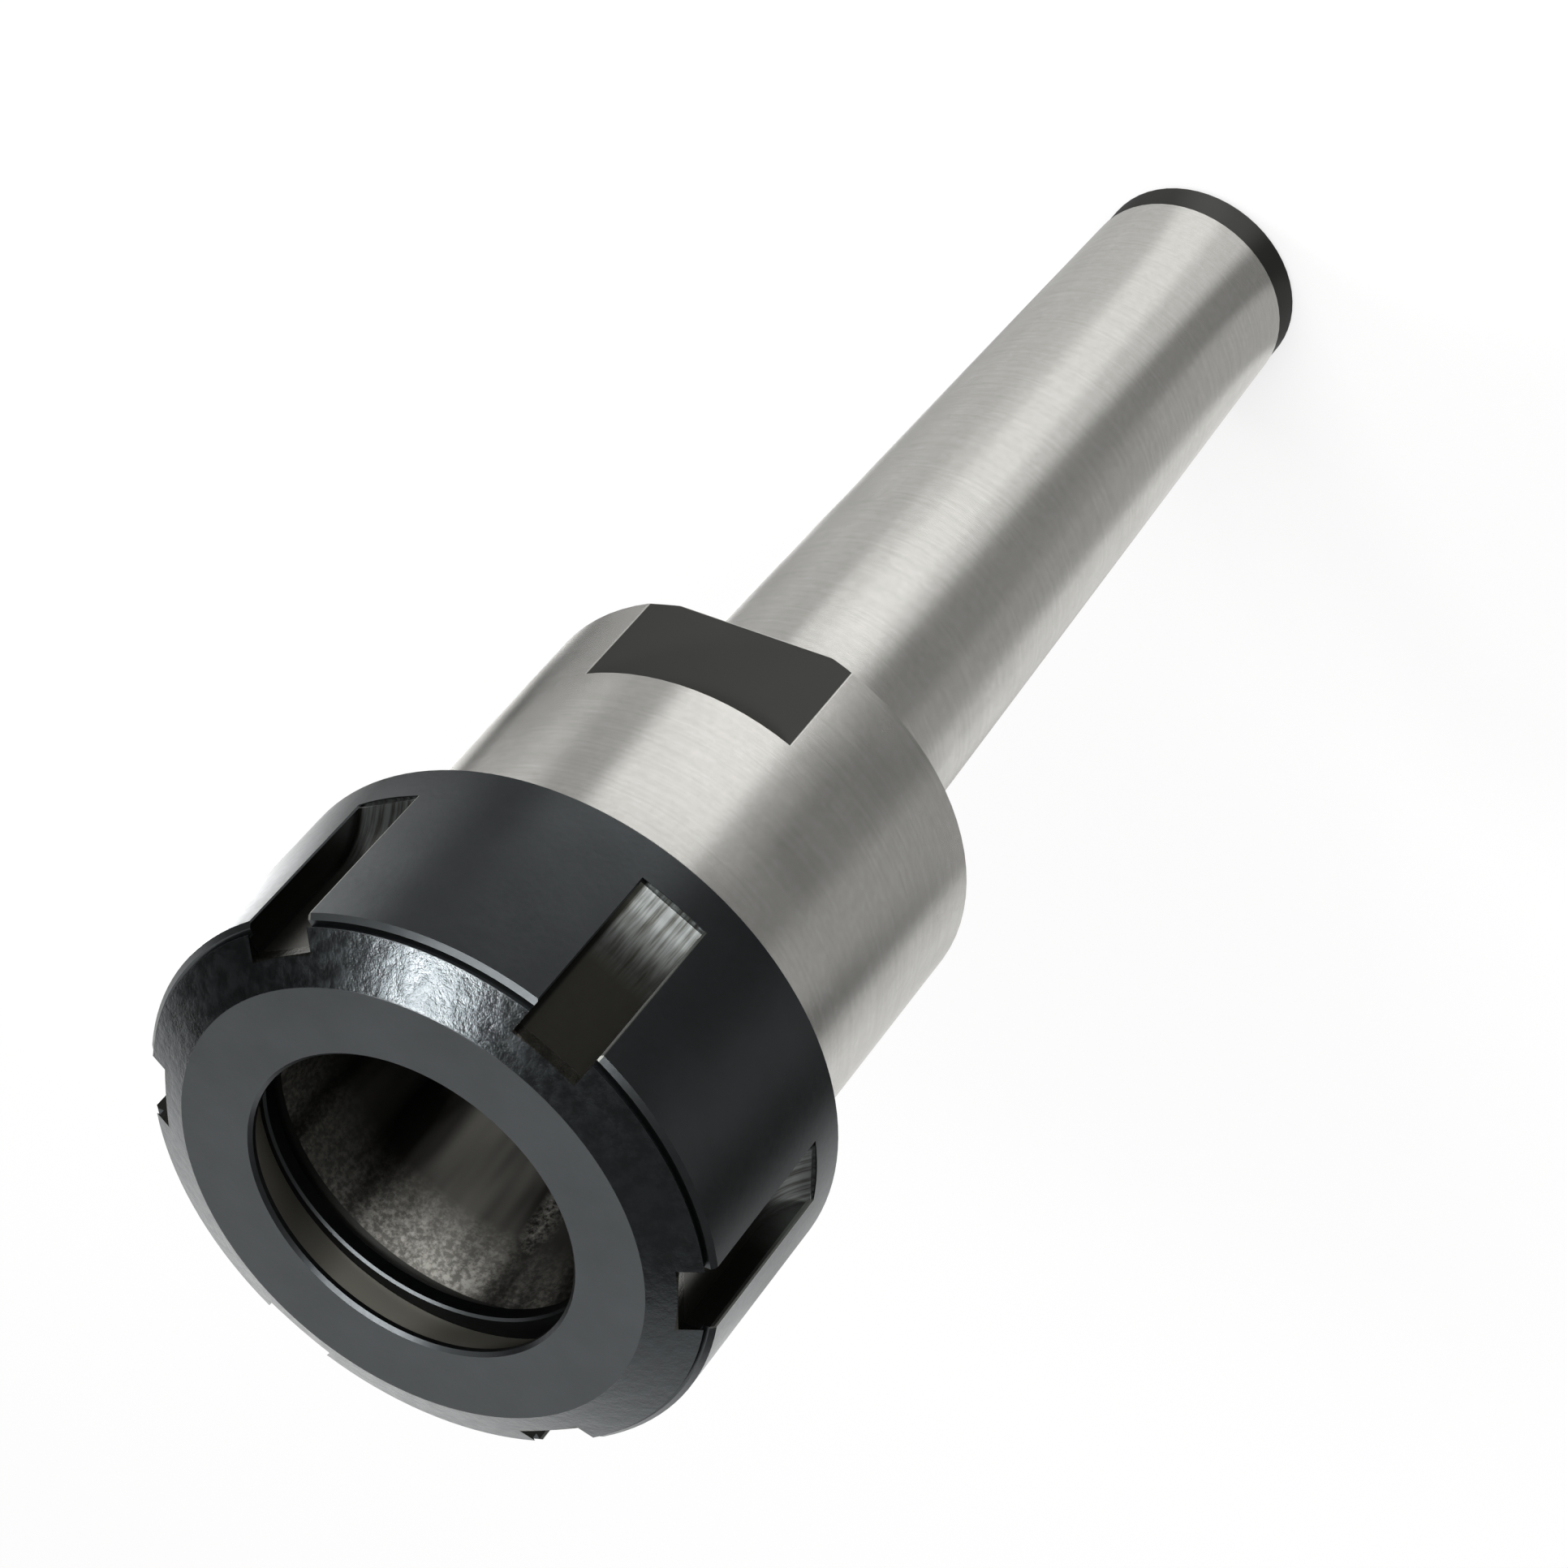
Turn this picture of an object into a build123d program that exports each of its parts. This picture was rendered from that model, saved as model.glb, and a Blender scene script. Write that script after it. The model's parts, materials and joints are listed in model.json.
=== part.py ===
from build123d import *
import math
import os

# A collet chuck holder: a taper shank with a collet socket, and the clamping nut screwed onto its nose.
# Sizes are in millimetres and angles in degrees.
# The holder stands on the small end of its shank: Z is the spindle axis and points towards the nut.

# Taper shank, a number 3 self-holding taper
taper_gauge_diameter = 23.825
taper_length_per_millimetre = 19.922    # length over which the diameter falls by 1 mm
gauge_to_small_end = 81.0
gauge_to_shoulder = 7.5
small_end_band = 3.7                    # turned parallel, so the grinding wheel leaves it black
small_end_chamfer = 0.5
grinding_relief_width = 2.0
grinding_relief_depth = 0.3

# Drawbar hole in the small end
drawbar_thread = 12.0
drawbar_pitch = 1.75
drawbar_hole_depth = 30.0
drawbar_countersink = 14.0
countersink_angle = 60.0
drill_point_angle = 118.0

# Body
body_diameter = 40.5
body_length = 31.8                      # from the rear shoulder to the seat of the nut
shoulder_chamfer = 1.0
seat_chamfer = 0.4
flat_depth = 2.25
flat_length = 11.5

# Nose, where the nut's thread runs
nut_wall = 5.0                          # from the outside of the thread to the outside of the nut
thread_pitch = 1.5
nose_length = 15.0
nose_chamfer = 1.0
thread_relief_width = 2.5
thread_clearance = 0.05                 # radial, both threads being plain at their pitch diameter

# Collet socket
nose_wall = 3.5                         # from the mouth of the socket to the outside of the thread
socket_half_angle = 8.0
socket_floor = 4.8                      # solid steel between the socket and the body's rear shoulder
socket_edge_chamfer = 0.3
socket_relief_depth = 0.4
socket_relief_length = 4.5

# Clamping nut
nut_diameter = 50.0
nut_length = 22.5
nut_seat_gap = 0.3                      # between the nut's rear face and the body's shoulder
nut_rear_chamfer = 0.5
front_bevel_width = 4.65                # from the edge of the flat face to the outside of the nut
front_bevel_length = 2.1
front_bevel_rim = 0.65                  # how far inside the nut's outside the bevel ends
front_groove_width = 0.5
front_groove_depth = 0.3
front_edge_chamfer = 0.4

# Opening of the nut
opening_step = 2.4                      # from the mouth of the socket in to the opening
opening_edge_chamfer = 0.3
opening_land = 0.4
nut_cone_half_angle = 30.0
nut_cone_length = 4.35

# Extraction lip, an off-centre ring behind the cone that pulls the collet out
lip_step = 1.35                         # from the mouth of the socket in to the bore of the lip
lip_offset = 0.9
lip_thickness = 1.35
lip_edge_chamfer = 0.2
nut_relief_length = 3.0
nut_relief_depth = 0.3

# Spanner slots in the nut
slot_count = 6
slot_width = 6.0
slot_depth = 2.5
slot_reach = 18.5                       # from the front face to where the slot runs out at the outside
slot_cutter_radius = 8.0
slot_edge_chamfer = 0.15
cut_overrun = 1.0                       # how far a cutting shape passes the surface that it cuts

# Diameters that follow from the nut's outside, inwards
thread_diameter = nut_diameter - 2 * nut_wall
socket_mouth_diameter = thread_diameter - 2 * nose_wall
opening_diameter = socket_mouth_diameter - 2 * opening_step
lip_diameter = socket_mouth_diameter - 2 * lip_step
nut_face_diameter = nut_diameter - 2 * front_bevel_width

# Length of the ground cone in the socket
socket_length = body_length + nose_length - socket_relief_length - socket_floor

# Heights above the small end of the shank
shoulder_height = gauge_to_small_end + gauge_to_shoulder
seat_height = shoulder_height + body_length
nose_height = seat_height + nose_length
nut_rear_height = seat_height + nut_seat_gap
nut_front_height = nut_rear_height + nut_length

# Radii that several features share
body_radius = body_diameter / 2
nut_radius = nut_diameter / 2
flank_overlap = 0.6495                  # thread height from pitch to outside diameter, per pitch, both sides
pitch_radius = (thread_diameter - flank_overlap * thread_pitch) / 2
thread_root_radius = thread_diameter / 2 - thread_pitch
small_end_radius = (taper_gauge_diameter - gauge_to_small_end / taper_length_per_millimetre) / 2


def shank_radius(height):
    """Radius of the ground taper at a height above the small end."""
    return small_end_radius + height / taper_length_per_millimetre / 2


def turned(points):
    """A solid turned about the spindle axis from its half section of (radius, height) points."""
    with BuildPart() as turning:
        with BuildSketch(Plane.XZ):
            with BuildLine():
                Polyline(*points, close=True)
            make_face()
        revolve(axis=Axis.Z)
    return turning.part


def body_blank():
    """Shank, body and nose as one turning."""
    relief_radius = shank_radius(shoulder_height) - grinding_relief_depth
    relief_height = shoulder_height - grinding_relief_width
    return turned([
        (0, 0),
        (small_end_radius - small_end_chamfer, 0),
        (small_end_radius, small_end_chamfer),
        (small_end_radius, small_end_band),
        (shank_radius(small_end_band), small_end_band),
        (shank_radius(relief_height), relief_height),
        (relief_radius, relief_height),
        (relief_radius, shoulder_height),
        (body_radius - shoulder_chamfer, shoulder_height),
        (body_radius, shoulder_height + shoulder_chamfer),
        (body_radius, seat_height - seat_chamfer),
        (body_radius - seat_chamfer, seat_height),
        (thread_root_radius, seat_height),
        (thread_root_radius, seat_height + thread_relief_width),
        (pitch_radius, seat_height + thread_relief_width),
        (pitch_radius, nose_height - nose_chamfer),
        (pitch_radius - nose_chamfer, nose_height),
        (0, nose_height),
    ])


def drawbar_hole():
    """Countersunk blind hole at the tapping size of the drawbar thread, with a drill point."""
    drill_radius = (drawbar_thread - drawbar_pitch) / 2
    mouth_radius = drawbar_countersink / 2
    countersink_depth = (mouth_radius - drill_radius) / math.tan(math.radians(countersink_angle / 2))
    point_depth = drill_radius / math.tan(math.radians(drill_point_angle / 2))
    return turned([
        (0, -cut_overrun),
        (mouth_radius, -cut_overrun),
        (mouth_radius, 0),
        (drill_radius, countersink_depth),
        (drill_radius, drawbar_hole_depth),
        (0, drawbar_hole_depth + point_depth),
    ])


def collet_socket():
    """Conical socket with a broken edge at its mouth and a grinding relief at its floor."""
    mouth_radius = socket_mouth_diameter / 2
    slope = math.tan(math.radians(socket_half_angle))
    cone_floor = nose_height - socket_length
    floor_radius = mouth_radius - socket_length * slope
    edge_radius = mouth_radius - socket_edge_chamfer * slope
    return turned([
        (0, nose_height + cut_overrun),
        (edge_radius + socket_edge_chamfer, nose_height + cut_overrun),
        (edge_radius + socket_edge_chamfer, nose_height),
        (edge_radius, nose_height - socket_edge_chamfer),
        (floor_radius, cone_floor),
        (floor_radius + socket_relief_depth, cone_floor),
        (floor_radius + socket_relief_depth, cone_floor - socket_relief_length),
        (0, cone_floor - socket_relief_length),
    ])


def spanner_flats():
    """What is milled away to leave the two flats, which are open towards the shank."""
    depth = flat_depth + cut_overrun
    length = flat_length + cut_overrun
    height = shoulder_height + flat_length - length / 2
    with BuildPart() as milled:
        for side in (-1, 1):
            with Locations((0, side * (body_radius - flat_depth + depth / 2), height)):
                Box(body_diameter, depth, length)
    return milled.part


def chuck_body():
    """Taper shank, body with spanner flats, threaded nose and collet socket, in one piece."""
    return body_blank() - drawbar_hole() - collet_socket() - spanner_flats()


def nut_blank():
    """Outside of the nut: face, bevel, narrow groove and the plain barrel behind it."""
    bevel_radius = nut_radius - front_bevel_rim
    groove_front = nut_front_height - front_bevel_length
    groove_rear = groove_front - front_groove_width
    groove_radius = bevel_radius - front_groove_depth
    return turned([
        (0, nut_rear_height),
        (nut_radius - nut_rear_chamfer, nut_rear_height),
        (nut_radius, nut_rear_height + nut_rear_chamfer),
        (nut_radius, groove_rear - front_edge_chamfer),
        (nut_radius - front_edge_chamfer, groove_rear),
        (groove_radius, groove_rear),
        (groove_radius, groove_front),
        (bevel_radius, groove_front),
        (nut_face_diameter / 2, nut_front_height),
        (0, nut_front_height),
    ])


def nut_cone_foot():
    """Height at which the cone inside the nut ends and the lip begins."""
    return nut_front_height - opening_edge_chamfer - opening_land - nut_cone_length


def nut_opening():
    """Short land at the mouth and the cone behind it, which presses on the collet."""
    land_radius = opening_diameter / 2
    edge_height = nut_front_height - opening_edge_chamfer
    cone_radius = land_radius + nut_cone_length * math.tan(math.radians(nut_cone_half_angle))
    return turned([
        (0, nut_front_height + cut_overrun),
        (land_radius + opening_edge_chamfer, nut_front_height + cut_overrun),
        (land_radius + opening_edge_chamfer, nut_front_height),
        (land_radius, edge_height),
        (land_radius, edge_height - opening_land),
        (cone_radius, nut_cone_foot()),
        (0, nut_cone_foot()),
    ])


def lip_bore():
    """Off-centre bore with a broken front edge, which leaves the extraction lip round it."""
    bore_radius = lip_diameter / 2
    lip_front = nut_cone_foot()
    bore = turned([
        (0, lip_front - lip_thickness),
        (bore_radius, lip_front - lip_thickness),
        (bore_radius, lip_front - lip_edge_chamfer),
        (bore_radius + lip_edge_chamfer, lip_front),
        (0, lip_front),
    ])
    return bore.translate((lip_offset, 0, 0))


def nut_thread_bore():
    """Relief behind the lip and the thread bore, with its mouth opened at the rear face."""
    bore_radius = pitch_radius + thread_clearance
    mouth_radius = thread_diameter / 2
    mouth_depth = mouth_radius - bore_radius
    relief_radius = thread_diameter / 2 + nut_relief_depth
    relief_top = nut_cone_foot() - lip_thickness
    relief_foot = relief_top - nut_relief_length
    return turned([
        (0, nut_rear_height - cut_overrun),
        (mouth_radius, nut_rear_height - cut_overrun),
        (mouth_radius, nut_rear_height),
        (bore_radius, nut_rear_height + mouth_depth),
        (bore_radius, relief_foot),
        (relief_radius, relief_foot),
        (relief_radius, relief_top),
        (0, relief_top),
    ])


def cutter_run_out(rise):
    """Length in which the round cutter rises out of the slot by an amount."""
    return math.sqrt(slot_cutter_radius ** 2 - (slot_cutter_radius - rise) ** 2)


def slot_outline():
    """Side view of a slot cut: a flat floor, then the cutter's arc up to the outside of the nut."""
    floor_radius = nut_radius - slot_depth
    outer_radius = nut_radius + cut_overrun
    front_height = nut_front_height + cut_overrun
    arc_height = nut_front_height - slot_reach + cutter_run_out(slot_depth)
    end_height = arc_height - cutter_run_out(slot_depth + cut_overrun)
    with BuildLine() as outline:
        Line((outer_radius, end_height), (outer_radius, front_height))
        Line((outer_radius, front_height), (floor_radius, front_height))
        Line((floor_radius, front_height), (floor_radius, arc_height))
        TangentArc((floor_radius, arc_height), (outer_radius, end_height), tangent=(0, -1))
    return outline.line


def slot_edge_outline():
    """Cross-section that breaks the two long edges of a slot where its walls meet the outside."""
    half_width = slot_width / 2
    edge_radius = math.sqrt(nut_radius ** 2 - half_width ** 2)
    foot = edge_radius - slot_edge_chamfer
    top = edge_radius + cut_overrun
    spread = half_width + slot_edge_chamfer + cut_overrun
    with BuildLine() as outline:
        Polyline((foot, -half_width), (top, -spread), (top, spread), (foot, half_width), close=True)
    return outline.line


def slot_cut():
    """One spanner slot with its broken edges, at the angle of the X axis."""
    end_height = nut_front_height - slot_reach
    with BuildPart() as cut:
        with BuildSketch(Plane.XZ):
            add(slot_outline())
            make_face()
        extrude(amount=slot_width / 2, both=True)
        with BuildSketch(Plane.XY.offset(end_height)):
            add(slot_edge_outline())
            make_face()
        extrude(amount=slot_reach + cut_overrun)
    return cut.part


def clamping_nut():
    """Nut with its opening, extraction lip, thread bore and spanner slots, in one piece."""
    nut = nut_blank() - nut_opening() - lip_bore() - nut_thread_bore()
    for position in range(slot_count):
        nut = nut - slot_cut().rotate(Axis.Z, position * 360 / slot_count)
    return nut


os.makedirs("parts", exist_ok=True)
for name, piece in {"chuck_body": chuck_body(), "clamping_nut": clamping_nut()}.items():
    export_step(piece, f"parts/{name}.step")
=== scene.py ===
# %% [markdown]
# # Collet chuck holder
# This lesson dresses a tool holder of two steel pieces: a chuck body with a ground taper shank, and
# a clamping nut with a black finish. Their shapes are already exact, so nothing here moves or
# resizes them. What is left to make is what the eye judges a metal by: its finish, the marks of the
# machines that cut it, and the studio that it mirrors.

import json
import math

import bpy
from mathutils import Euler, Matrix, Vector

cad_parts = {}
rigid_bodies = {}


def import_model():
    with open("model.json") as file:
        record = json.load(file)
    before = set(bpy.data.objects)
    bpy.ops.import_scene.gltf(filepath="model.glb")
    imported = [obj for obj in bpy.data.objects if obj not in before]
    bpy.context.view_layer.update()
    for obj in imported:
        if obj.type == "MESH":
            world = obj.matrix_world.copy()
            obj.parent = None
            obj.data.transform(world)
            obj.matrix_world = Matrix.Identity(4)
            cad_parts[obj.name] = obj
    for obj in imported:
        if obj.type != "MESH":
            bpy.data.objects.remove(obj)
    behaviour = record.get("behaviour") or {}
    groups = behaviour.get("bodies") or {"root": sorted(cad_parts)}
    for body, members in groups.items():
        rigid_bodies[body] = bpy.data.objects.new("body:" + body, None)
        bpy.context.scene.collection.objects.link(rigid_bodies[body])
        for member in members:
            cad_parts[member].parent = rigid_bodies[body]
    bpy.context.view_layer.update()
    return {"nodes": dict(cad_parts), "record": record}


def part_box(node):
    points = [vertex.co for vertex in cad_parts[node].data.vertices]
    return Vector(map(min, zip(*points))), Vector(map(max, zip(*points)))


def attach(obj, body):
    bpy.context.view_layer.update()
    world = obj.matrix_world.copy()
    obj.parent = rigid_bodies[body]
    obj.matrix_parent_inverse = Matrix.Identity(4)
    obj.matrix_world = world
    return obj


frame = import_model()
chuck_body = frame["nodes"]["chuck_body"]
clamping_nut = frame["nodes"]["clamping_nut"]
print("pieces:", sorted(frame["nodes"]))

# %% [markdown]
# ## Sizes
# The holder stands on the small end of its shank, with the nut on top, and Z is the spindle axis.
# The main places are read from the model's own boxes and fastening faces, so that most of a finish
# stays on its surface if the model changes. Shader coordinates are turned into millimetres, because
# that is how a machinist thinks of a groove or a grinding mark.

# %% Read the sizes that the finishes need
MM = 0.001
mounts = {mount["name"]: mount for mount in frame["record"]["mounts"]}


def millimetres(corner):
    """A corner of a box, in millimetres."""
    return [value / MM for value in corner]


body_low, body_high = (millimetres(corner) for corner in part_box("chuck_body"))
nut_low, nut_high = (millimetres(corner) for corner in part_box("clamping_nut"))
body_radius = body_high[0]
nut_radius = nut_high[0]
nut_face_height = nut_high[2]
nose_height = body_high[2]
print(f"body: radius {body_radius:.2f} mm, height {body_low[2]:.2f} to {nose_height:.2f} mm")
print(f"nut: radius {nut_radius:.2f} mm, height {nut_low[2]:.2f} to {nut_face_height:.2f} mm")

# %% [markdown]
# ## Small helpers
# Hex colours are how screens and paint charts name a colour, but light adds up in linear numbers.
# One function turns the first into the second. Another adds a shader node: its settings go to the
# node's options or input sockets, and its links say which output feeds which socket. Nodes could be
# wired by hand in the shader editor, but a script can be read and gives the same result each time.

# %% Colour and node helpers
MIX_A = 6                                # sockets of a colour mix, which share their names
MIX_B = 7
MIX_OUT = 2


def linear(hex_code):
    """An sRGB hex colour as linear red, green, blue and alpha."""
    channels = [int(hex_code[start:start + 2], 16) / 255 for start in (1, 3, 5)]
    return (*[c / 12.92 if c <= 0.04045 else ((c + 0.055) / 1.055) ** 2.4 for c in channels], 1)


def add_node(tree, kind, settings=None, links=None):
    """Adds a node; settings fill its options or sockets, links connect outputs to its sockets."""
    node = tree.nodes.new("ShaderNode" + kind)
    for name, value in (settings or {}).items():
        if isinstance(name, str) and hasattr(node, name):
            setattr(node, name, value)
        else:
            node.inputs[name].default_value = value
    for name, source in (links or {}).items():
        tree.links.new(source, node.inputs[name])
    return node


def new_material(name):
    """An empty node material, its tree and its output node."""
    material = bpy.data.materials.new(name)
    material.use_nodes = True
    material.node_tree.nodes.clear()
    return material, material.node_tree, add_node(material.node_tree, "OutputMaterial")


# %% [markdown]
# ## Where a point lies on a turned piece
# Everything on this object was turned or ground about one axis, so its finishes change with the
# height along the axis, the distance from it and the angle round it. These nodes give all three. A
# zone is then simply a height or a radius that lies between two sizes, and a smaller zone is the
# product of two or more. Painting a picture on the surface would work too, but it would have seams
# and pixels, and sizes keep a zone's edge sharp at any distance.

# %% Nodes that measure a point of the piece
SHARP = 0.02                             # how softly a zone ends, in millimetres
PAST = 1                                 # a limit this far past the piece leaves a zone open there


def measure(tree):
    """Outputs for the position in millimetres, its y, height and radius, and its angle."""
    place = add_node(tree, "TexCoord").outputs["Object"]
    position = add_node(tree, "VectorMath", {"operation": "SCALE", "Scale": 1 / MM},
                        {0: place}).outputs[0]
    x, y, height = add_node(tree, "SeparateXYZ", links={0: position}).outputs
    flat = add_node(tree, "VectorMath", {"operation": "MULTIPLY", 1: (1, 1, 0)}, {0: position})
    radius = add_node(tree, "VectorMath", {"operation": "LENGTH"}, {0: flat.outputs[0]})
    angle = add_node(tree, "Math", {"operation": "ARCTAN2"}, {0: y, 1: x})
    return {"position": position, "y": y, "height": height, "radius": radius.outputs["Value"],
            "angle": angle.outputs[0]}


def between(tree, value, low, high, edge=SHARP):
    """1 where a measured value lies between two sizes, fading over the edge at both ends."""
    rise = add_node(tree, "MapRange", {"From Min": low - edge, "From Max": low + edge},
                    {"Value": value})
    fall = add_node(tree, "MapRange", {"From Min": high - edge, "From Max": high + edge,
                                       "To Min": 1, "To Max": 0}, {"Value": value})
    both = add_node(tree, "Math", {"operation": "MULTIPLY"},
                    {0: rise.outputs[0], 1: fall.outputs[0]})
    return both.outputs[0]


def product(tree, *masks):
    """Several masks multiplied: 1 only where all of them are."""
    result = masks[0]
    for mask in masks[1:]:
        result = add_node(tree, "Math", {"operation": "MULTIPLY"}, {0: result, 1: mask}).outputs[0]
    return result


# %% [markdown]
# ## Where the steel is still black
# The body was blackened after it was hardened, and then ground. What the wheel didn't reach is
# still black: the narrow band at the small end, the drawbar hole, the outside of the nose and the
# two spanner flats. Each could have a material of its own on its own faces, but it is all one piece
# of steel, so one material with a mask for its black places is truer and simpler.

# %% Find the black places
BAND_HEIGHT = 3.7                        # the parallel end
HOLE_RADIUS, HOLE_DEPTH = 7.2, 40        # hold the drawbar hole and its countersink
NOSE_REACH = 14                          # how far down from its end the nose is black outside
MOUTH_RADIUS = 16.48                     # the socket ends here and the nose's end face starts
FLAT_LOW, FLAT_HIGH = 88.5, 100.0        # the spanner flats, above the small end
FLAT_DISTANCE = 18.0                     # from the axis to a flat


def still_black(tree, at):
    """1 on the end band, in the drawbar hole, on the nose and on the spanner flats."""
    band = between(tree, at["height"], -PAST, BAND_HEIGHT)
    hole = product(tree, between(tree, at["radius"], -PAST, HOLE_RADIUS),
                   between(tree, at["height"], -PAST, HOLE_DEPTH))
    nose = product(tree, between(tree, at["height"], nose_height - NOSE_REACH, nose_height + PAST),
                   between(tree, at["radius"], MOUTH_RADIUS, body_radius + PAST))
    # A few hundredths of a millimetre keep the flats' black off the faces beside them
    off_axis = add_node(tree, "Math", {"operation": "ABSOLUTE"}, {0: at["y"]}).outputs[0]
    flats = product(tree, between(tree, off_axis, FLAT_DISTANCE - 0.04, body_radius + PAST),
                    between(tree, at["radius"], 0, body_radius - 0.05),
                    between(tree, at["height"], FLAT_LOW + 0.05, FLAT_HIGH + 0.05))
    black = band
    for zone in (hole, nose, flats):
        black = add_node(tree, "Math", {"operation": "MAXIMUM"}, {0: black, 1: zone}).outputs[0]
    return black


print("black band up to", BAND_HEIGHT, "mm, flats from", FLAT_LOW, "to", FLAT_HIGH, "mm")

# %% [markdown]
# ## The collet socket
# The socket inside the nose is painted dark, as painted shade for the inside of the bore. Near the
# mouth it is painted lighter in patches, as painted light where the lamps reach in; further in, one
# band of specks is a painted highlight, and lighter lengthwise streaks are a painted sheen. Noise
# that is stretched along the axis gives the streaks, and round noise gives the spots. Both come
# from sizes, so they need no picture.

# %% Paint shade and light into the socket
SOCKET_RADIUS, SOCKET_LOW = 17, 90       # a zone that holds the whole socket
MOUTH_LIGHT_START, MOUTH_LIGHT_FULL = 7.5, 1             # below the mouth: where the painted light starts and is full
SPOT_SIZE = 0.5
STREAK_WIDTH, STREAK_LENGTH = 4, 60
# a band of specks that is a painted highlight: its place round the axis and below the mouth
GLINT_FROM, GLINT_TO = 94, 101         # degrees round the axis
GLINT_LOW, GLINT_HIGH = 16, 6          # below the mouth


def painted_socket_light(tree, at, spots, streaks):
    """Painted light in the socket: lighter patches near the mouth and a band of specks as a painted
    highlight.
    """
    lighter_towards_mouth = add_node(tree, "MapRange",
                     {"From Min": nose_height - MOUTH_LIGHT_START, "From Max": nose_height - MOUTH_LIGHT_FULL},
                     {"Value": at["height"]})
    spotted = add_node(tree, "MapRange", {"From Min": 0.42, "From Max": 0.66, "To Min": 0.25},
                       {"Value": spots})
    patchy = add_node(tree, "MapRange", {"From Min": 0.38, "From Max": 0.55, "To Min": 0.3},
                      {"Value": streaks})
    near_mouth = product(tree, lighter_towards_mouth.outputs[0], spotted.outputs[0], patchy.outputs[0])
    # the specks of the painted highlight
    specks = add_node(tree, "MapRange", {"From Min": 0.4, "From Max": 0.7, "To Max": 0.65},
                      {"Value": spots})
    start, end = math.radians(GLINT_FROM), math.radians(GLINT_TO)
    speckled_highlight = product(tree, between(tree, at["angle"], start, end, edge=0.04),
                       between(tree, at["height"], nose_height - GLINT_LOW,
                               nose_height - GLINT_HIGH, edge=2), specks.outputs[0])
    lit = add_node(tree, "Math", {"operation": "MAXIMUM"}, {0: near_mouth, 1: speckled_highlight})
    return lit.outputs[0]


def socket_finish(tree, at):
    """The socket's zone, its colour of painted shade and light, and the noise of its spots."""
    zone = product(tree, between(tree, at["radius"], -PAST, SOCKET_RADIUS),
                   between(tree, at["height"], SOCKET_LOW, nose_height + PAST))
    spots = add_node(tree, "TexNoise", {"Scale": 1 / SPOT_SIZE, "Detail": 3, "Roughness": 0.7},
                     {"Vector": at["position"]}).outputs[0]
    stretch = (1 / STREAK_WIDTH, 1 / STREAK_WIDTH, 1 / STREAK_LENGTH)
    stretched = add_node(tree, "VectorMath", {"operation": "MULTIPLY", 1: stretch},
                         {0: at["position"]})
    streaks = add_node(tree, "TexNoise", {"Scale": 1, "Detail": 2},
                       {"Vector": stretched.outputs[0]}).outputs[0]
    # lighter lengthwise streaks: painted sheen
    streaky_sheen = add_node(tree, "MapRange", {"From Min": 0.35, "From Max": 0.7, "To Max": 0.28},
                        {"Value": streaks})
    socket_lightness = add_node(tree, "Math", {"operation": "ADD"},
                     {0: painted_socket_light(tree, at, spots, streaks), 1: streaky_sheen.outputs[0]})
    # the dark colour is painted shade inside the bore, the light one painted light and sheen
    socket_shade_and_light = add_node(tree, "Mix", {"data_type": "RGBA", MIX_A: linear("#1d1c1a"),
                                   MIX_B: linear("#aeaca5")}, {0: socket_lightness.outputs[0]})
    return zone, socket_shade_and_light.outputs[MIX_OUT], spots


# the socket's last millimetres below the mouth carry painted light
print("socket rubbed bright over its last", MOUTH_LIGHT_START, "mm")

# %% [markdown]
# ## Ground steel
# The shank and the body are hardened steel, ground bright between centres. Grinding leaves fine
# lines round the axis. They scatter a reflection along the axis and keep it sharp round it, so a
# ground bar shows long, clean stripes of the room. The shader calls that anisotropy, and its
# tangent runs round the axis. Modelling the lines would take millions of faces, and a plain rough
# metal would blur the stripes away.

# %% Make the ground steel
LINE_LENGTH, LINE_SPACING = 9, 0.3       # really about 0.05 mm apart; 0.3 is the finest that shows
CLOUD_SIZE = 6                           # slow changes in how finely the wheel cut
GRAIN_SIZE = 0.7


def steel_colour(tree, at, lines):
    """Ground steel's own colour: a warm grey, a little lighter where the lines stand out."""
    grain = add_node(tree, "TexNoise", {"Scale": 1 / GRAIN_SIZE, "Detail": 3, "Roughness": 0.7},
                     {"Vector": at["position"]}).outputs[0]
    shine = add_node(tree, "MapRange", {"From Min": 0.12, "From Max": 0.38},
                     {"Value": product(tree, lines, grain)})
    steel = add_node(tree, "Mix", {"data_type": "RGBA", MIX_A: linear("#cecdc7"),
                                   MIX_B: linear("#d9d7d3")}, {0: shine.outputs[0]})
    return steel.outputs[MIX_OUT]


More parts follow.
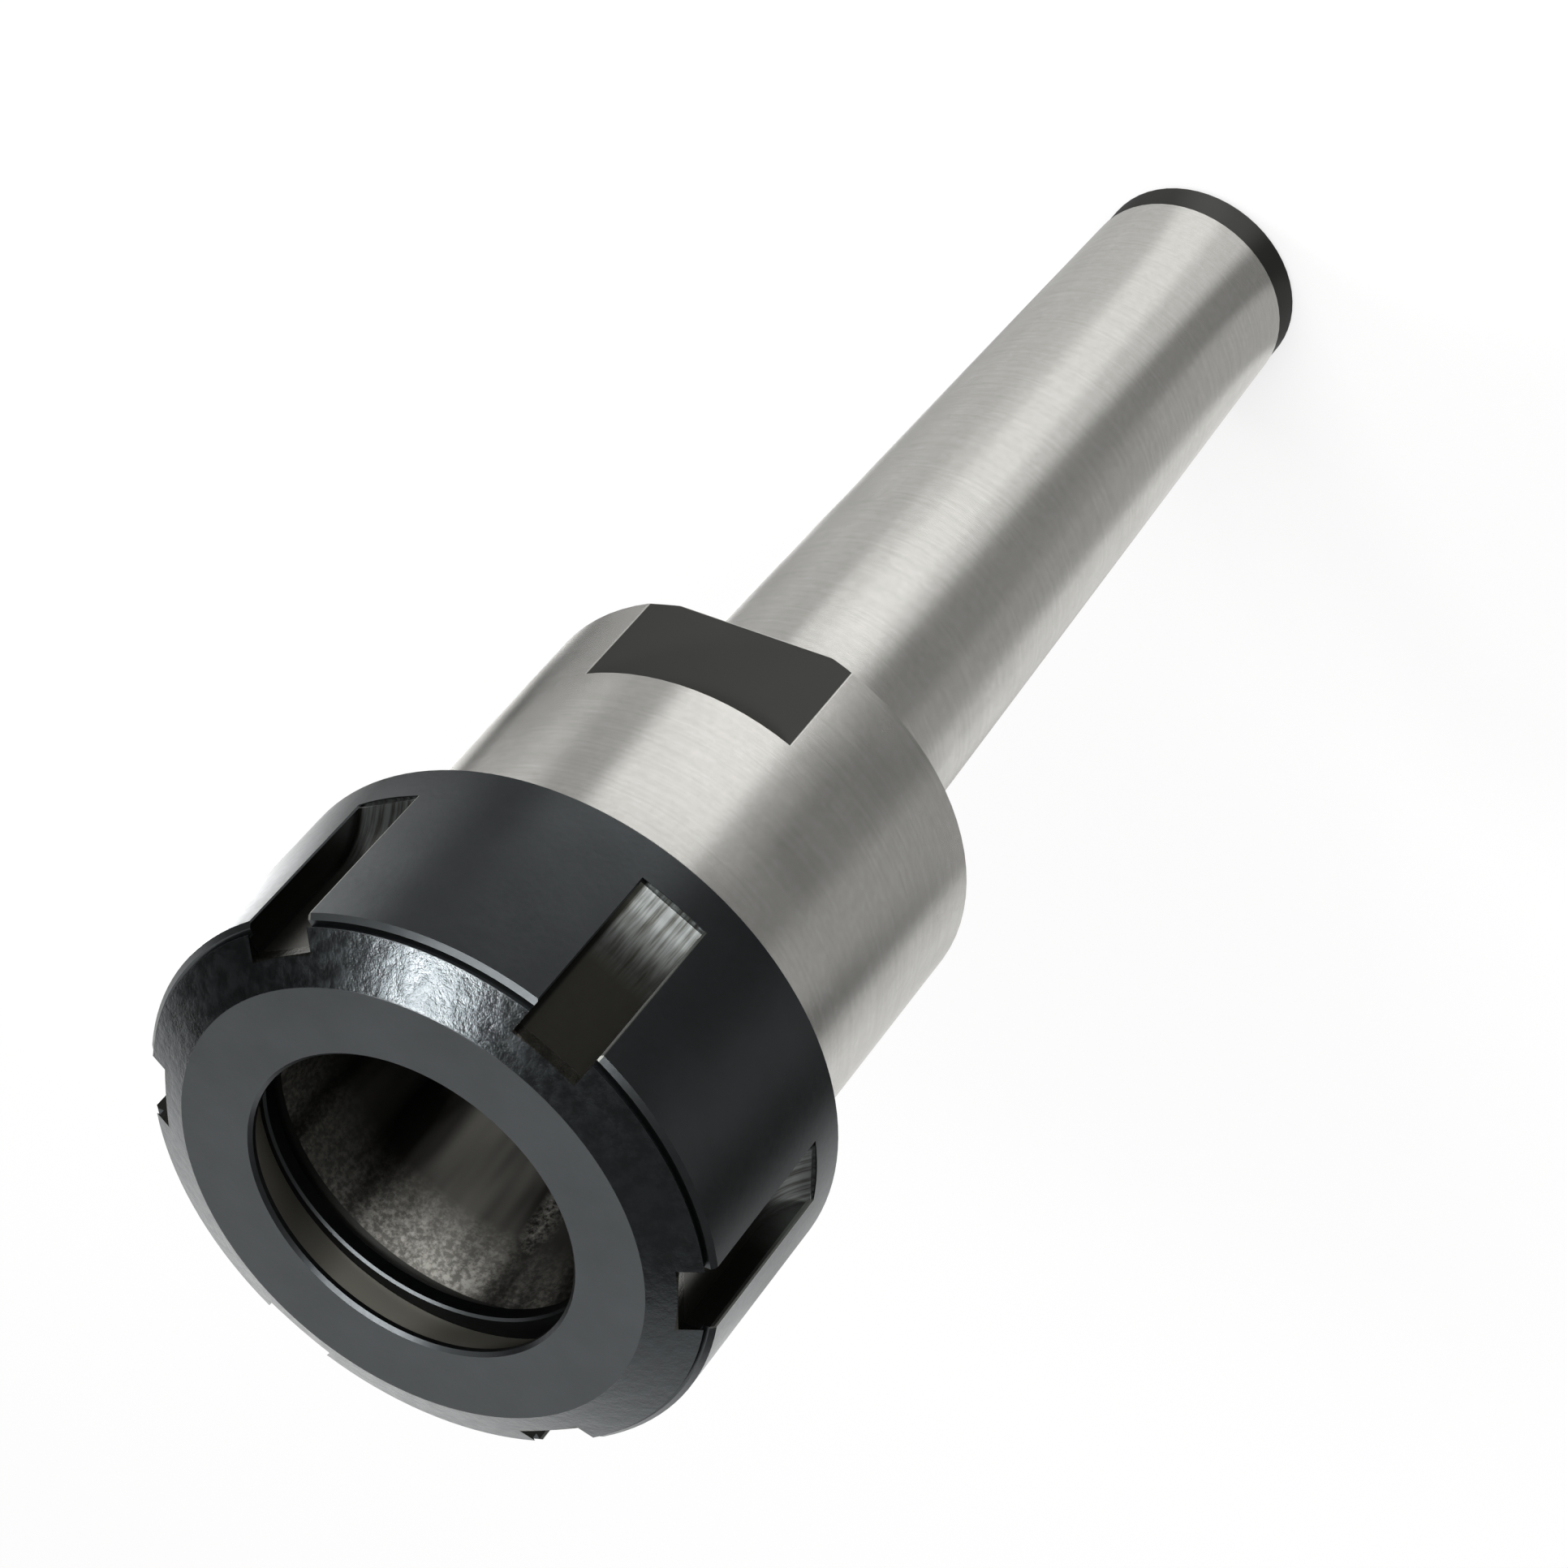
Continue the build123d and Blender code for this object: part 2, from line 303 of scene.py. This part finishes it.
def ground_steel():
    """Bright ground steel with its black places and painted shade and light in its socket."""
    material, tree, output = new_material("ground_hardened_steel")
    at = measure(tree)
    black = still_black(tree, at)
    socket, socket_shade_and_light, spots = socket_finish(tree, at)
    stretch = (1 / LINE_LENGTH, 1 / LINE_LENGTH, 1 / LINE_SPACING)
    stretched = add_node(tree, "VectorMath", {"operation": "MULTIPLY", 1: stretch},
                         {0: at["position"]})
    lines = add_node(tree, "TexNoise", {"Scale": 1, "Detail": 4, "Roughness": 0.6},
                     {"Vector": stretched.outputs[0]}).outputs[0]
    clouds = add_node(tree, "TexNoise", {"Scale": 1 / CLOUD_SIZE, "Detail": 3},
                      {"Vector": at["position"]}).outputs[0]

    with_socket = add_node(tree, "Mix", {"data_type": "RGBA"},
                           {0: socket, MIX_A: steel_colour(tree, at, lines), MIX_B: socket_shade_and_light})
    base = add_node(tree, "Mix", {"data_type": "RGBA", MIX_B: linear("#464644")},
                    {0: black, MIX_A: with_socket.outputs[MIX_OUT]})

    # Ground steel is about 0.2 to 0.3 rough. The honed socket and the black places are duller.
    steel_roughness = add_node(tree, "MapRange", {"To Min": 0.2, "To Max": 0.3}, {"Value": clouds})
    honed_roughness = add_node(tree, "Math", {"operation": "MULTIPLY_ADD", 1: 0.24},
                               {0: socket, 2: steel_roughness.outputs[0]})
    roughness = add_node(tree, "Math", {"operation": "MULTIPLY_ADD", 1: 0.16},
                         {0: black, 2: honed_roughness.outputs[0]})
    relief = add_node(tree, "Mix", {"data_type": "FLOAT"}, {0: socket, 2: lines, 3: spots})
    bump = add_node(tree, "Bump", {"Strength": 0.18, "Distance": 0.02 * MM},
                    {"Height": relief.outputs[0]})
    tangent = add_node(tree, "Tangent", {"direction_type": "RADIAL", "axis": "Z"})
    shader = add_node(tree, "BsdfPrincipled",
                      {"Metallic": 1, "Anisotropic": 1, "Anisotropic Rotation": 0.25},
                      {"Base Color": base.outputs[MIX_OUT], "Roughness": roughness.outputs[0],
                       "Normal": bump.outputs[0], "Tangent": tangent.outputs[0]})
    tree.links.new(shader.outputs[0], output.inputs["Surface"])
    return material


chuck_body.material_slots[0].material = ground_steel()
print("ground steel on", chuck_body.name)

# %% [markdown]
# ## The nut's bevel
# The nut was blasted before it was blackened. On the bevel that still shows, as blotches about a
# millimetre across, some duller than others. Noise of that size gives them, in colour, in roughness
# and in relief. Modelled dents would weigh far more and look the same.

# %% Blotch the bevel
BEVEL_LOW = nut_face_height - 2.08
BEVEL_HIGH = nut_face_height - 0.02
BEVEL_INNER = 20.3
BLOTCH_SIZE = 1.3


def blasted_bevel(tree, at):
    """The bevel's zone, the noise of its blotches, and how far a point is in a blotch."""
    zone = product(tree, between(tree, at["height"], BEVEL_LOW, BEVEL_HIGH),
                   between(tree, at["radius"], BEVEL_INNER, nut_radius))
    blotches = add_node(tree, "TexNoise", {"Scale": 1 / BLOTCH_SIZE, "Detail": 4, "Roughness": 0.7},
                        {"Vector": at["position"]}).outputs[0]
    blotch = add_node(tree, "MapRange", {"From Min": 0.4, "From Max": 0.6}, {"Value": blotches})
    return zone, blotches, blotch.outputs[0]


print(f"bevel from {BEVEL_LOW:.2f} to {BEVEL_HIGH:.2f} mm")

# %% [markdown]
# ## The nut's slots
# A round cutter milled six slots for the spanner. Each has a dull floor, painted shade along one
# wall, and streaks where the cutter ran out, and a painted highlight along one edge. Six copies of
# a mask would do, but all slots are alike, so the angle is folded into one sixth of a turn, and one
# mask serves them all.

# %% Finish the slots
SLOT_COUNT = 6
SLOT_HALF_WIDTH = 3.0
SLOT_FLOOR = nut_radius - 2.5
SLOT_END = nut_face_height - 18.5        # where the round cutter has left the slot
MARK_WIDTH, MARK_LENGTH = 0.3, 4         # of one of the cutter's streaks
RUN_OUT = 4                              # the streaks lie this far up and down from the slot's end
SHADE_WIDTH = 0.45                         # of the painted shade along one wall
HIGHLIGHT_REACH = 0.4                               # how far in from the edge the painted highlight reaches


def sideways_in_slot(tree, at):
    """How far a point lies to one side of the middle of its own slot."""
    sector = math.pi / SLOT_COUNT
    folded = add_node(tree, "Math", {"operation": "WRAP", 1: sector, 2: -sector}, {0: at["angle"]})
    lean = add_node(tree, "Math", {"operation": "SINE"}, {0: folded.outputs[0]})
    return product(tree, lean.outputs[0], at["radius"])


def milled_slots(tree, at, colour):
    """The slots' zone, their streaks, and the nut's colour with the slots laid over it."""
    sideways = sideways_in_slot(tree, at)
    off_middle = add_node(tree, "Math", {"operation": "ABSOLUTE"}, {0: sideways}).outputs[0]
    zone = product(tree, between(tree, off_middle, -PAST, SLOT_HALF_WIDTH + 0.01),
                   between(tree, at["radius"], SLOT_FLOOR - 0.05, nut_radius - 0.1),
                   between(tree, at["height"], SLOT_END - 1, nut_face_height + PAST))
    place = add_node(tree, "CombineXYZ", links={"X": sideways, "Z": at["height"]})
    stretch = (1 / MARK_WIDTH, 1, 1 / MARK_LENGTH)
    stretched = add_node(tree, "VectorMath", {"operation": "MULTIPLY", 1: stretch},
                         {0: place.outputs[0]})
    streaks = add_node(tree, "TexNoise", {"Scale": 1, "Detail": 3},
                       {"Vector": stretched.outputs[0]}).outputs[0]
    bared = add_node(tree, "MapRange", {"From Min": 0.3, "From Max": 0.6}, {"Value": streaks})

    run_out = product(tree, between(tree, at["height"], SLOT_END - RUN_OUT, SLOT_END + RUN_OUT,
                                    edge=3.5), zone, bared.outputs[0])
    # painted shade along one wall of each slot
    painted_shade_wall = product(tree, zone, between(tree, sideways, SLOT_HALF_WIDTH - SHADE_WIDTH,
                                              SLOT_HALF_WIDTH + PAST, edge=0.12))
    # a painted highlight along one edge of each slot
    highlight_edge = product(tree, between(tree, sideways, -SLOT_HALF_WIDTH - 0.2,
                                        -SLOT_HALF_WIDTH + 0.02),
                          between(tree, at["radius"], nut_radius - HIGHLIGHT_REACH, nut_radius + PAST),
                          between(tree, at["height"], SLOT_END, nut_face_height))
    # 22221f is painted shade, and #8b8d88 a painted highlight
    for mask, tint in ((zone, "#403f3a"), (run_out, "#838786"), (painted_shade_wall, "#22221f"),
                       (highlight_edge, "#8b8d88")):
        colour = add_node(tree, "Mix", {"data_type": "RGBA", MIX_B: linear(tint)},
                          {0: mask, MIX_A: colour}).outputs[MIX_OUT]
    return zone, streaks, colour


print(SLOT_COUNT, "slots,", 2 * SLOT_HALF_WIDTH, "mm wide")

# %% [markdown]
# ## Black oxide
# The nut is hardened steel with a black oxide finish, a conversion layer a thousandth of a
# millimetre thick. It is still metal to the eye: dark, slightly blue, with a soft sheen and an even
# grain. So it is made as a dark metal and not as black paint, which would lose the reflections. The
# cone inside the opening, which presses on the collet, is rubbed half bare.

# %% Make the black oxide
GRAIN_OF_BLASTING = 0.5
CLOUD_OF_BATH = 5                        # slow changes in colour from the blackening bath
CONE_LOW = nut_face_height - 5.03        # just above the extraction lip
CONE_HIGH = nut_face_height - 0.7
CONE_RADIUS = 16.7                       # holds the cone


def black_oxide():
    """Satin black oxide over turned and blasted steel, with the bare cone."""
    material, tree, output = new_material("black_oxide_on_steel")
    at = measure(tree)
    grain = add_node(tree, "TexNoise", {"Scale": 1 / GRAIN_OF_BLASTING, "Detail": 3},
                     {"Vector": at["position"]}).outputs[0]
    clouds = add_node(tree, "TexNoise", {"Scale": 1 / CLOUD_OF_BATH, "Detail": 4},
                      {"Vector": at["position"]}).outputs[0]
    bevel, blotches, blotch = blasted_bevel(tree, at)
    cone = product(tree, between(tree, at["radius"], 0, CONE_RADIUS),
                   between(tree, at["height"], CONE_LOW, CONE_HIGH))

    satin = add_node(tree, "Mix", {"data_type": "RGBA", MIX_A: linear("#424546"),
                                   MIX_B: linear("#4f5254")}, {0: clouds})
    blasted = add_node(tree, "Mix", {"data_type": "RGBA", MIX_B: linear("#4c5052")},
                       {0: product(tree, bevel, blotch), MIX_A: satin.outputs[MIX_OUT]})
    slots, streaks, slotted = milled_slots(tree, at, blasted.outputs[MIX_OUT])
    base = add_node(tree, "Mix", {"data_type": "RGBA", MIX_B: linear("#817f76")},
                    {0: cone, MIX_A: slotted})

    # Satin black oxide is about 0.3 rough. The bevel shines more, and the turned cone less.
    satin_roughness = add_node(tree, "MapRange", {"To Min": 0.26, "To Max": 0.36}, {"Value": grain})
    bevel_roughness = add_node(tree, "MapRange", {"To Min": 0.2, "To Max": 0.27},
                               {"Value": blotch})
    blackened = add_node(tree, "Mix", {"data_type": "FLOAT"},
                         {0: bevel, 2: satin_roughness.outputs[0], 3: bevel_roughness.outputs[0]})
    roughness = add_node(tree, "Mix", {"data_type": "FLOAT", 3: 0.42},
                         {0: cone, 2: blackened.outputs[0]})
    slot_relief = add_node(tree, "Mix", {"data_type": "FLOAT"}, {0: slots, 2: grain, 3: streaks})
    relief = add_node(tree, "Mix", {"data_type": "FLOAT"},
                      {0: bevel, 2: slot_relief.outputs[0], 3: blotches})
    depth = add_node(tree, "MapRange", {"To Min": 0.012 * MM, "To Max": 0.1 * MM},
                     {"Value": bevel})
    bump = add_node(tree, "Bump", {"Strength": 0.5},
                    {"Height": relief.outputs[0], "Distance": depth.outputs[0]})
    tangent = add_node(tree, "Tangent", {"direction_type": "RADIAL", "axis": "Z"})
    shader = add_node(tree, "BsdfPrincipled", {"Metallic": 1, "Anisotropic Rotation": 0.25},
                      {"Base Color": base.outputs[MIX_OUT], "Roughness": roughness.outputs[0],
                       "Normal": bump.outputs[0], "Tangent": tangent.outputs[0],
                       "Anisotropic": cone})
    tree.links.new(shader.outputs[0], output.inputs["Surface"])
    return material


clamping_nut.material_slots[0].material = black_oxide()
print("black oxide on", clamping_nut.name)

# %% [markdown]
# ## Thread in the drawbar hole
# A drawbar through the machine's spindle pulls the shank tight, and screws into the small end. The
# exact model has a plain hole there. The turns are one ridge wound up a screw line: a small blunt
# triangle is carried round and up, and each is joined to the one before. A bump in the material
# could fake it, but an eye that looks into the hole sees the crests edge on, and there only real
# shape holds up.

# %% Wind the drawbar thread
THREAD_PITCH = 1.75
THREAD_STEPS = 48                        # places of the triangle in one turn
THREAD_FOOT, THREAD_TOP = 4.2, 27.0      # above the small end
CREST_DEPTH = 0.42                       # from the wall to the crest
ROOT_SINK = 0.03                         # the foot lies this far inside the wall
HALF_ROOT, HALF_CREST = 0.62, 0.11       # half the width of the foot and of the crest


def ridge_mesh(wall):
    """The ridge on a wall of this radius, fading out at both ends."""
    steps = round((THREAD_TOP - THREAD_FOOT) / THREAD_PITCH * THREAD_STEPS)
    points, faces = [], []
    for step in range(steps + 1):
        turn = 2 * math.pi * step / THREAD_STEPS
        height = THREAD_FOOT + THREAD_PITCH * step / THREAD_STEPS
        fade = min(1, step / THREAD_STEPS, (steps - step) / THREAD_STEPS)
        root = wall + ROOT_SINK
        crest = wall - CREST_DEPTH * fade
        for across, rise in ((root, -HALF_ROOT), (crest, -HALF_CREST), (crest, HALF_CREST),
                             (root, HALF_ROOT)):
            points.append((across * math.cos(turn) * MM, across * math.sin(turn) * MM,
                           (height + rise) * MM))
        if step:
            last = 4 * step
            for corner in range(4):
                following = (corner + 1) % 4
                faces.append((last - 4 + corner, last + corner, last + following,
                              last - 4 + following))
    faces += [(3, 2, 1, 0), tuple(range(4 * steps, 4 * steps + 4))]
    mesh = bpy.data.meshes.new("drawbar_thread")
    mesh.from_pydata(points, [], faces)
    mesh.update()
    print("thread turns:", round(steps / THREAD_STEPS, 1), "faces:", len(faces))
    return mesh


def drawbar_thread():
    """Puts the ridge in the drawbar hole, where it rides with the body."""
    mesh = ridge_mesh(mounts["drawbar_thread"]["dims"]["r_mm"])
    ridge = bpy.data.objects.new("drawbar_thread", mesh)
    bpy.context.scene.collection.objects.link(ridge)
    mesh.materials.append(clamping_nut.material_slots[0].material)
    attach(ridge, "holder")


drawbar_thread()

# %% [markdown]
# ## Cards on the table
# A polished cylinder shows the room more than itself. On a table of plain white paper it would look
# flat and pale, so a photographer lays strips of grey and black card round it. They could be many
# small planes, but here they are one disc at table height that only reflections see, because cards
# drawn by a material can have soft edges. Each card has a direction, a width, a nearest and a
# farthest distance from the axis, and a tone.

# %% Choose the cards
CARDS = [
    # direction and half width in degrees, from and to in millimetres, tone
    ("bright paper for the shank", -91, 16, 0, 106, 0.98),
    ("grey card for the shank", 171, 26, 40, 106, 0.34),
    ("dark card for the shank", -148, 22, 40, 106, 0.24),
    ("pale grey card for the shank", 80, 18, 0, 106, 0.46),
    ("grey card for the shank's end", 170, 27, 0, 40, 0.5),
    ("dark card for the shank's end", -148, 15, 0, 40, 0.24),
    ("white paper for the shank", 126, 26, 0, 106, 0.95),
    ("far grey card for the shank", 18, 10, 0, 106, 0.48),
    ("far white paper for the shank", 47, 21, 0, 106, 2.8),
    ("bright paper for the body", -90, 27, 106, 120, 1.9),
    ("brighter paper for the body", -90, 27, 120, 136, 2.6),
    ("brightest paper for the body", -90, 27, 136, 150, 3.4),
    ("dark card for the body", -151, 18, 106, 164, 0.04),
    ("narrow dark card for the body", 149, 9, 106, 164, 0.0),
    ("white paper for the body", 112, 28, 106, 164, 0.78),
    ("black card for the body", -12, 28, 106, 166, 0.0),
    ("far dark card for the body", 22, 12, 106, 164, 0.06),
    ("far grey card for the body", 52, 16, 106, 164, 1.3),
    ("grey paper for the nut", -66, 22, 184, 300, 0.46),
    ("bright paper for the nut", -22, 20, 192, 300, 1.5),
    ("bright paper for the nut's rear", -22, 22, 168, 192, 2.2),
    ("dark card for the nut's rear", -100, 30, 150, 212, 0.0),
    ("dark card for the nut", -145, 14, 190, 300, 0.1),
    ("darkest card for the nut", 158, 12, 164, 300, 0.0),
    ("white paper for the nut", 116, 18, 172, 300, 1.5),
    ("far left paper for the nut", 82, 16, 172, 300, 1.3),
    ("far right paper for the nut", 30, 22, 170, 300, 4.5),
    ("far white paper", 61, 45, 300, 900, 1.05),
]
TABLE_TONES = [
    # from and to in millimetres, tone of the paper under the cards
    ("below the shank", 0, 106, 0.68),
    ("below the body", 106, 164, 0.33),
    ("below the body's edge", 164, 172, 0.04),
    ("below the nut", 172, 2000, 0.38),
]
print("cards:", len(CARDS))

# %% [markdown]
# ## The disc that carries them
# The disc's tone starts as rings of plain paper. Each card is then laid over what lies there: its
# mask moves the tone towards the card's own. Only reflections see the disc, so it doesn't change
# how the lamps light the holder.

# %% Lay the cards round the holder
DISC_RADIUS = 0.9                        # metres
CARD_EDGE = 4                            # how softly a card ends outwards, in millimetres
CARD_SIDE = math.radians(7)              # and how softly it ends sideways


def reflections_only(stand_in, name):
    """Hides an object from all but reflections, and gives it an empty material."""
    stand_in.name = name
    stand_in.visible_camera = stand_in.visible_diffuse = stand_in.visible_shadow = False
    material, tree, output = new_material(name)
    stand_in.data.materials.append(material)
    return material, tree, output


def lay_cards():
    """Draws the cards, each with soft edges, over the plain paper."""
    bpy.ops.mesh.primitive_circle_add(vertices=96, radius=DISC_RADIUS, fill_type="NGON",
                                      location=(0, 0, 0.01 * MM))
    material, tree, output = reflections_only(bpy.context.object, "reflection_cards")
    material.cycles.emission_sampling = "NONE"
    at = measure(tree)
    outward = add_node(tree, "VectorMath", {"operation": "NORMALIZE"}, {0: at["position"]})

    tone = None
    for _, low, high, value in TABLE_TONES:
        ring = add_node(tree, "MapRange", {"To Min": 0, "To Max": value},
                        {"Value": between(tree, at["radius"], low, high, CARD_EDGE)}).outputs[0]
        if tone is None:
            tone = ring
        else:
            tone = add_node(tree, "Math", {"operation": "ADD"}, {0: tone, 1: ring}).outputs[0]
    for _, direction, half_width, low, high, value in CARDS:
        towards = (math.cos(math.radians(direction)), math.sin(math.radians(direction)), 0)
        nearness = add_node(tree, "VectorMath", {"operation": "DOT_PRODUCT", 1: towards},
                            {0: outward.outputs[0]})
        off = add_node(tree, "Math", {"operation": "ARCCOSINE"}, {0: nearness.outputs["Value"]})
        width = math.radians(half_width)
        sideways = add_node(tree, "MapRange",
                            {"interpolation_type": "SMOOTHSTEP", "From Min": width - CARD_SIDE,
                             "From Max": width + CARD_SIDE, "To Min": 1, "To Max": 0},
                            {"Value": off.outputs[0]})
        mask = product(tree, sideways.outputs[0], between(tree, at["radius"], low, high, CARD_EDGE))
        change = add_node(tree, "Math", {"operation": "SUBTRACT", 0: value}, {1: tone})
        tone = add_node(tree, "Math", {"operation": "MULTIPLY_ADD"},
                        {0: change.outputs[0], 1: mask, 2: tone}).outputs[0]
    glow = add_node(tree, "Emission", {"Color": linear("#ffffff")}, {"Strength": tone})
    tree.links.new(glow.outputs[0], output.inputs["Surface"])


lay_cards()

# %% [markdown]
# ## Table
# The table is white paper. A paper bright enough to look white under these lamps would throw its
# light back on the holder, so it is grey, and the camera sees a glow added to it. It then meets the
# white background almost without a line, and keeps the holder's shadow. It is clear from below, so
# that the small end can be looked at.

# %% Set the table
TABLE_SIZE = 6                           # metres
TABLE_HEIGHT = -0.05 * MM                # a hair below the small end
CAMERA_GLOW = 0.73


def paper_table():
    """A large white floor, clear from below, that reflections don't see: the cards lie there."""
    bpy.ops.mesh.primitive_plane_add(size=TABLE_SIZE, location=(0, 0, TABLE_HEIGHT))
    table = bpy.context.object
    table.name = "paper_table"
    table.visible_glossy = False
    material, tree, output = new_material("white_paper")
    paper = add_node(tree, "BsdfDiffuse", {"Color": linear("#8c8c8c")})
    seen = add_node(tree, "LightPath").outputs["Is Camera Ray"]
    lift = add_node(tree, "Math", {"operation": "MULTIPLY", 1: CAMERA_GLOW}, {0: seen})
    glow = add_node(tree, "Emission", {"Color": linear("#ffffff")}, {"Strength": lift.outputs[0]})
    top = add_node(tree, "AddShader", links={0: paper.outputs[0], 1: glow.outputs[0]})
    clear = add_node(tree, "BsdfTransparent")
    below = add_node(tree, "NewGeometry").outputs["Backfacing"]
    sheet = add_node(tree, "MixShader", links={0: below, 1: top.outputs[0], 2: clear.outputs[0]})
    tree.links.new(sheet.outputs[0], output.inputs["Surface"])
    table.data.materials.append(material)


paper_table()

# %% [markdown]
# ## Lamps, wall and flags
# Three softboxes light the holder. A strip above the camera's side is the main light, a lower strip
# lights the ends of the slots, and a small one, high up, lights the bevel and the socket. A grey
# wall and four black flags stand round the table, as in a studio: only reflections see them, and
# they give the black nut its light and dark sides. All of them are placed by azimuth and elevation
# seen from the nut, because that is what decides where a mirror shows them.

# %% Set the lamps, the wall and the flags
LAMP_DISTANCE = 0.8                      # metres from the nut's face
nut_face = Vector((0, 0, nut_face_height * MM))


def heading(azimuth, elevation):
    """The direction at an azimuth and an elevation in degrees."""
    around, up = math.radians(azimuth), math.radians(elevation)
    return Vector((math.cos(around) * math.cos(up), math.sin(around) * math.cos(up), math.sin(up)))


def lamp(name, azimuth, elevation, width, height, radiance, diffuse=1.0):
    """A flat softbox facing the nut: its size in degrees, its brightness as a mirror shows it."""
    towards = heading(azimuth, elevation)
    light = bpy.data.lights.new(name, "AREA")
    light.shape = "RECTANGLE"
    light.size = 2 * LAMP_DISTANCE * math.tan(math.radians(width / 2))
    light.size_y = 2 * LAMP_DISTANCE * math.tan(math.radians(height / 2))
    light.energy = radiance * light.size * light.size_y * math.pi
    light.diffuse_factor = diffuse
    holder = bpy.data.objects.new(name, light)
    bpy.context.scene.collection.objects.link(holder)
    holder.location = nut_face + towards * LAMP_DISTANCE
    holder.rotation_euler = towards.to_track_quat("Z", "Y").to_euler()


def room_card(name, azimuth, elevation, width, height, tone, distance):
    """A flat card that only reflections see, facing the nut; its size is in degrees."""
    bpy.ops.mesh.primitive_plane_add(size=1)
    card = bpy.context.object
    card.scale = (math.radians(width) * distance, math.radians(height) * distance, 1)
    card.location = nut_face + heading(azimuth, elevation) * distance
    card.rotation_euler = (math.pi / 2 - math.radians(elevation), 0,
                           math.radians(azimuth) + math.pi / 2)
    _, tree, output = reflections_only(card, name)
    glow = add_node(tree, "Emission", {"Color": linear("#ffffff"), "Strength": tone})
    tree.links.new(glow.outputs[0], output.inputs["Surface"])


lamp("strip_softbox", -96, 53, 52, 12, 11)
lamp("low_strip_softbox", -100, 24, 46, 10, 4, 0.2)
lamp("small_softbox", -24, 69, 7, 14, 30, 0.2)
room_card("grey_wall", 63, 40, 56, 34, 1.12, 1.5)
room_card("black_flag_left", 166, 45, 84, 64, 0.16, 0.7)
room_card("black_flag_low_left", 126, 6, 26, 34, 0.06, 0.7)
room_card("black_flag_low_right", -10, 6, 42, 34, 0.06, 0.7)
room_card("black_flag_right", 18, 34, 50, 48, 0.06, 0.7)
print("lamps:", [light.name for light in bpy.data.lights])

# %% [markdown]
# ## Background
# The camera looks at pure white. Reflections see a pale room that darkens towards its ceiling, and
# that gives the curved metal a soft change of tone. All other light from the world is half as
# strong, so that pale surfaces don't clip to white. The world could be one plain white, but the
# metal would then be white all over.

# %% Set the background
def background():
    """White to the camera, and in reflections a pale room that darkens towards its ceiling."""
    world = bpy.data.worlds.new("white_room")
    bpy.context.scene.world = world
    world.use_nodes = True
    tree = world.node_tree
    tree.nodes.clear()
    world.cycles.sampling_method = "NONE"
    path = add_node(tree, "LightPath")
    direction = add_node(tree, "TexCoord").outputs["Generated"]
    upward = add_node(tree, "SeparateXYZ", links={0: direction}).outputs["Z"]
    walls = add_node(tree, "MapRange", {"To Min": 1.25, "To Max": 0.1}, {"Value": upward})
    plain = add_node(tree, "MapRange", {"To Min": 0.5, "To Max": 1.0},
                     {"Value": path.outputs["Is Camera Ray"]})
    light = add_node(tree, "MapRange", links={"Value": path.outputs["Is Glossy Ray"],
                                              "To Min": plain.outputs[0],
                                              "To Max": walls.outputs[0]})
    room = add_node(tree, "Background", {"Color": linear("#ffffff")},
                    {"Strength": light.outputs[0]})
    output = add_node(tree, "OutputWorld")
    tree.links.new(room.outputs[0], output.inputs["Surface"])


background()

# %% [markdown]
# ## Camera
# The camera looks down past the nut to the shank. Its height above the table, its direction and its
# roll are those of the photograph, in which the holder lies across the frame. Laying the holder
# down would give the same view of it, but it stands here as its exact model does, and so the camera
# is rolled instead.

# %% Place the camera
CAMERA_LENS = 121.95
SENSOR_WIDTH = 36
CAMERA_AZIMUTH = -118.8
CAMERA_ELEVATION = 43.418
CAMERA_DISTANCE = 440.73                 # from the point that it looks at
CAMERA_ROLL = -139.785
CAMERA_AIM = (-0.83, 0.46, 84.42)


def place_camera():
    """A long lens at the photograph's place and roll."""
    upright = Euler((math.pi / 2 - math.radians(CAMERA_ELEVATION), 0,
                     math.radians(CAMERA_AZIMUTH) + math.pi / 2)).to_matrix()
    turned = upright @ Matrix.Rotation(math.radians(CAMERA_ROLL), 3, "Z")
    back = heading(CAMERA_AZIMUTH, CAMERA_ELEVATION) * CAMERA_DISTANCE
    data = bpy.data.cameras.new("photo_camera")
    data.sensor_width = SENSOR_WIDTH
    data.lens = CAMERA_LENS
    data.clip_start = 0.01
    data.clip_end = 20
    camera = bpy.data.objects.new("photo_camera", data)
    bpy.context.scene.collection.objects.link(camera)
    camera.matrix_world = Matrix.Translation((Vector(CAMERA_AIM) + back) * MM) @ turned.to_4x4()
    bpy.context.scene.camera = camera
    print("camera at", [round(value / MM, 1) for value in camera.matrix_world.translation])


place_camera()
bpy.context.scene.view_settings.view_transform = "Standard"
